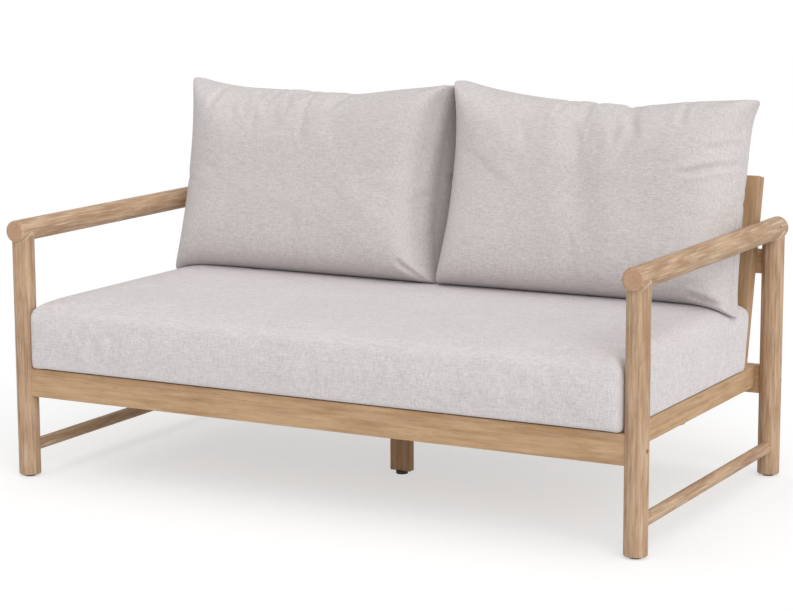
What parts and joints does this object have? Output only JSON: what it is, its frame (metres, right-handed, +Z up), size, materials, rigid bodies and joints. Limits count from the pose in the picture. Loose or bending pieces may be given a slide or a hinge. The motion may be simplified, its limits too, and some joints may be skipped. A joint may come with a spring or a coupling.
{
  "type": "patio loveseat",
  "caption": "Patio loveseat with a round-pole wooden frame, reclined slatted back, loose box seat cushion and loose knife-edge back cushions.",
  "frame": {"origin": "on the floor, midway between the legs", "axes": "+X to the right as seen from the front, front at -Y, +Z up"},
  "size_m": [1.55, 0.8461, 0.8707],
  "materials": {
    "limed_wood": "brushed hardwood with a pale limed oil finish",
    "dowel_beech": "plain fluted beech, glued",
    "cushion_fabric": "light greige woven outdoor cloth with a linen look",
    "cushion_foam": "open-cell cushion foam",
    "cushion_fibre": "blown polyester fibre in an inner bag",
    "fastener_steel": "stainless steel",
    "glide_plastic": "black moulded nylon"
  },
  "bodies": {
    "frame": {"arm_dowels": "dowel_beech", "barrel_nuts": "fastener_steel", "centre_back_post": "limed_wood", "centre_bearer": "limed_wood", "centre_leg": "limed_wood", "centre_leg_glide": "glide_plastic", "frame_screws": "fastener_steel", "front_left_leg": "limed_wood", "front_rail": "limed_wood", "front_right_leg": "limed_wood", "front_slat_ledger": "limed_wood", "left_arm_rail": "limed_wood", "left_back_lower_rail": "limed_wood", "left_back_post": "limed_wood", "left_back_slat_1": "limed_wood", "left_back_slat_2": "limed_wood", "left_back_slat_3": "limed_wood", "left_back_slat_4": "limed_wood", "left_back_top_rail": "limed_wood", "left_side_rail": "limed_wood", "left_stretcher": "limed_wood", "leg_glides": "glide_plastic", "rail_bolts": "fastener_steel", "rail_dowels": "dowel_beech", "rear_left_leg": "limed_wood", "rear_rail": "limed_wood", "rear_right_leg": "limed_wood", "rear_slat_ledger": "limed_wood", "right_arm_rail": "limed_wood", "right_back_lower_rail": "limed_wood", "right_back_post": "limed_wood", "right_back_slat_1": "limed_wood", "right_back_slat_2": "limed_wood", "right_back_slat_3": "limed_wood", "right_back_slat_4": "limed_wood", "right_back_top_rail": "limed_wood", "right_side_rail": "limed_wood", "right_stretcher": "limed_wood", "seat_frame_dowels": "dowel_beech", "seat_slat_01": "limed_wood", "seat_slat_02": "limed_wood", "seat_slat_03": "limed_wood", "seat_slat_04": "limed_wood", "seat_slat_05": "limed_wood", "seat_slat_06": "limed_wood", "seat_slat_07": "limed_wood", "seat_slat_08": "limed_wood", "seat_slat_09": "limed_wood", "seat_slat_10": "limed_wood", "seat_slat_11": "limed_wood", "slat_screws": "fastener_steel", "stretcher_dowels": "dowel_beech", "upper_rear_rail": "limed_wood"},
    "seat_cushion": {"seat_cushion_cover": "cushion_fabric", "seat_cushion_foam": "cushion_foam"},
    "left_back_cushion": {"left_back_cushion_cover": "cushion_fabric", "left_back_cushion_filling": "cushion_fibre"},
    "right_back_cushion": {"right_back_cushion_cover": "cushion_fabric", "right_back_cushion_filling": "cushion_fibre"}
  },
  "joints": [
    {"name": "seat_cushion_lift", "type": "slide", "parent": "frame", "child": "seat_cushion", "axis": [0, 0, 1], "range_m": [0, 0.44]},
    {"name": "left_back_cushion_lift", "type": "slide", "parent": "seat_cushion", "child": "left_back_cushion", "axis": [0, 0, 1], "range_m": [0, 0.3]},
    {"name": "right_back_cushion_lift", "type": "slide", "parent": "seat_cushion", "child": "right_back_cushion", "axis": [0, 0, 1], "range_m": [0, 0.3]}
  ]
}
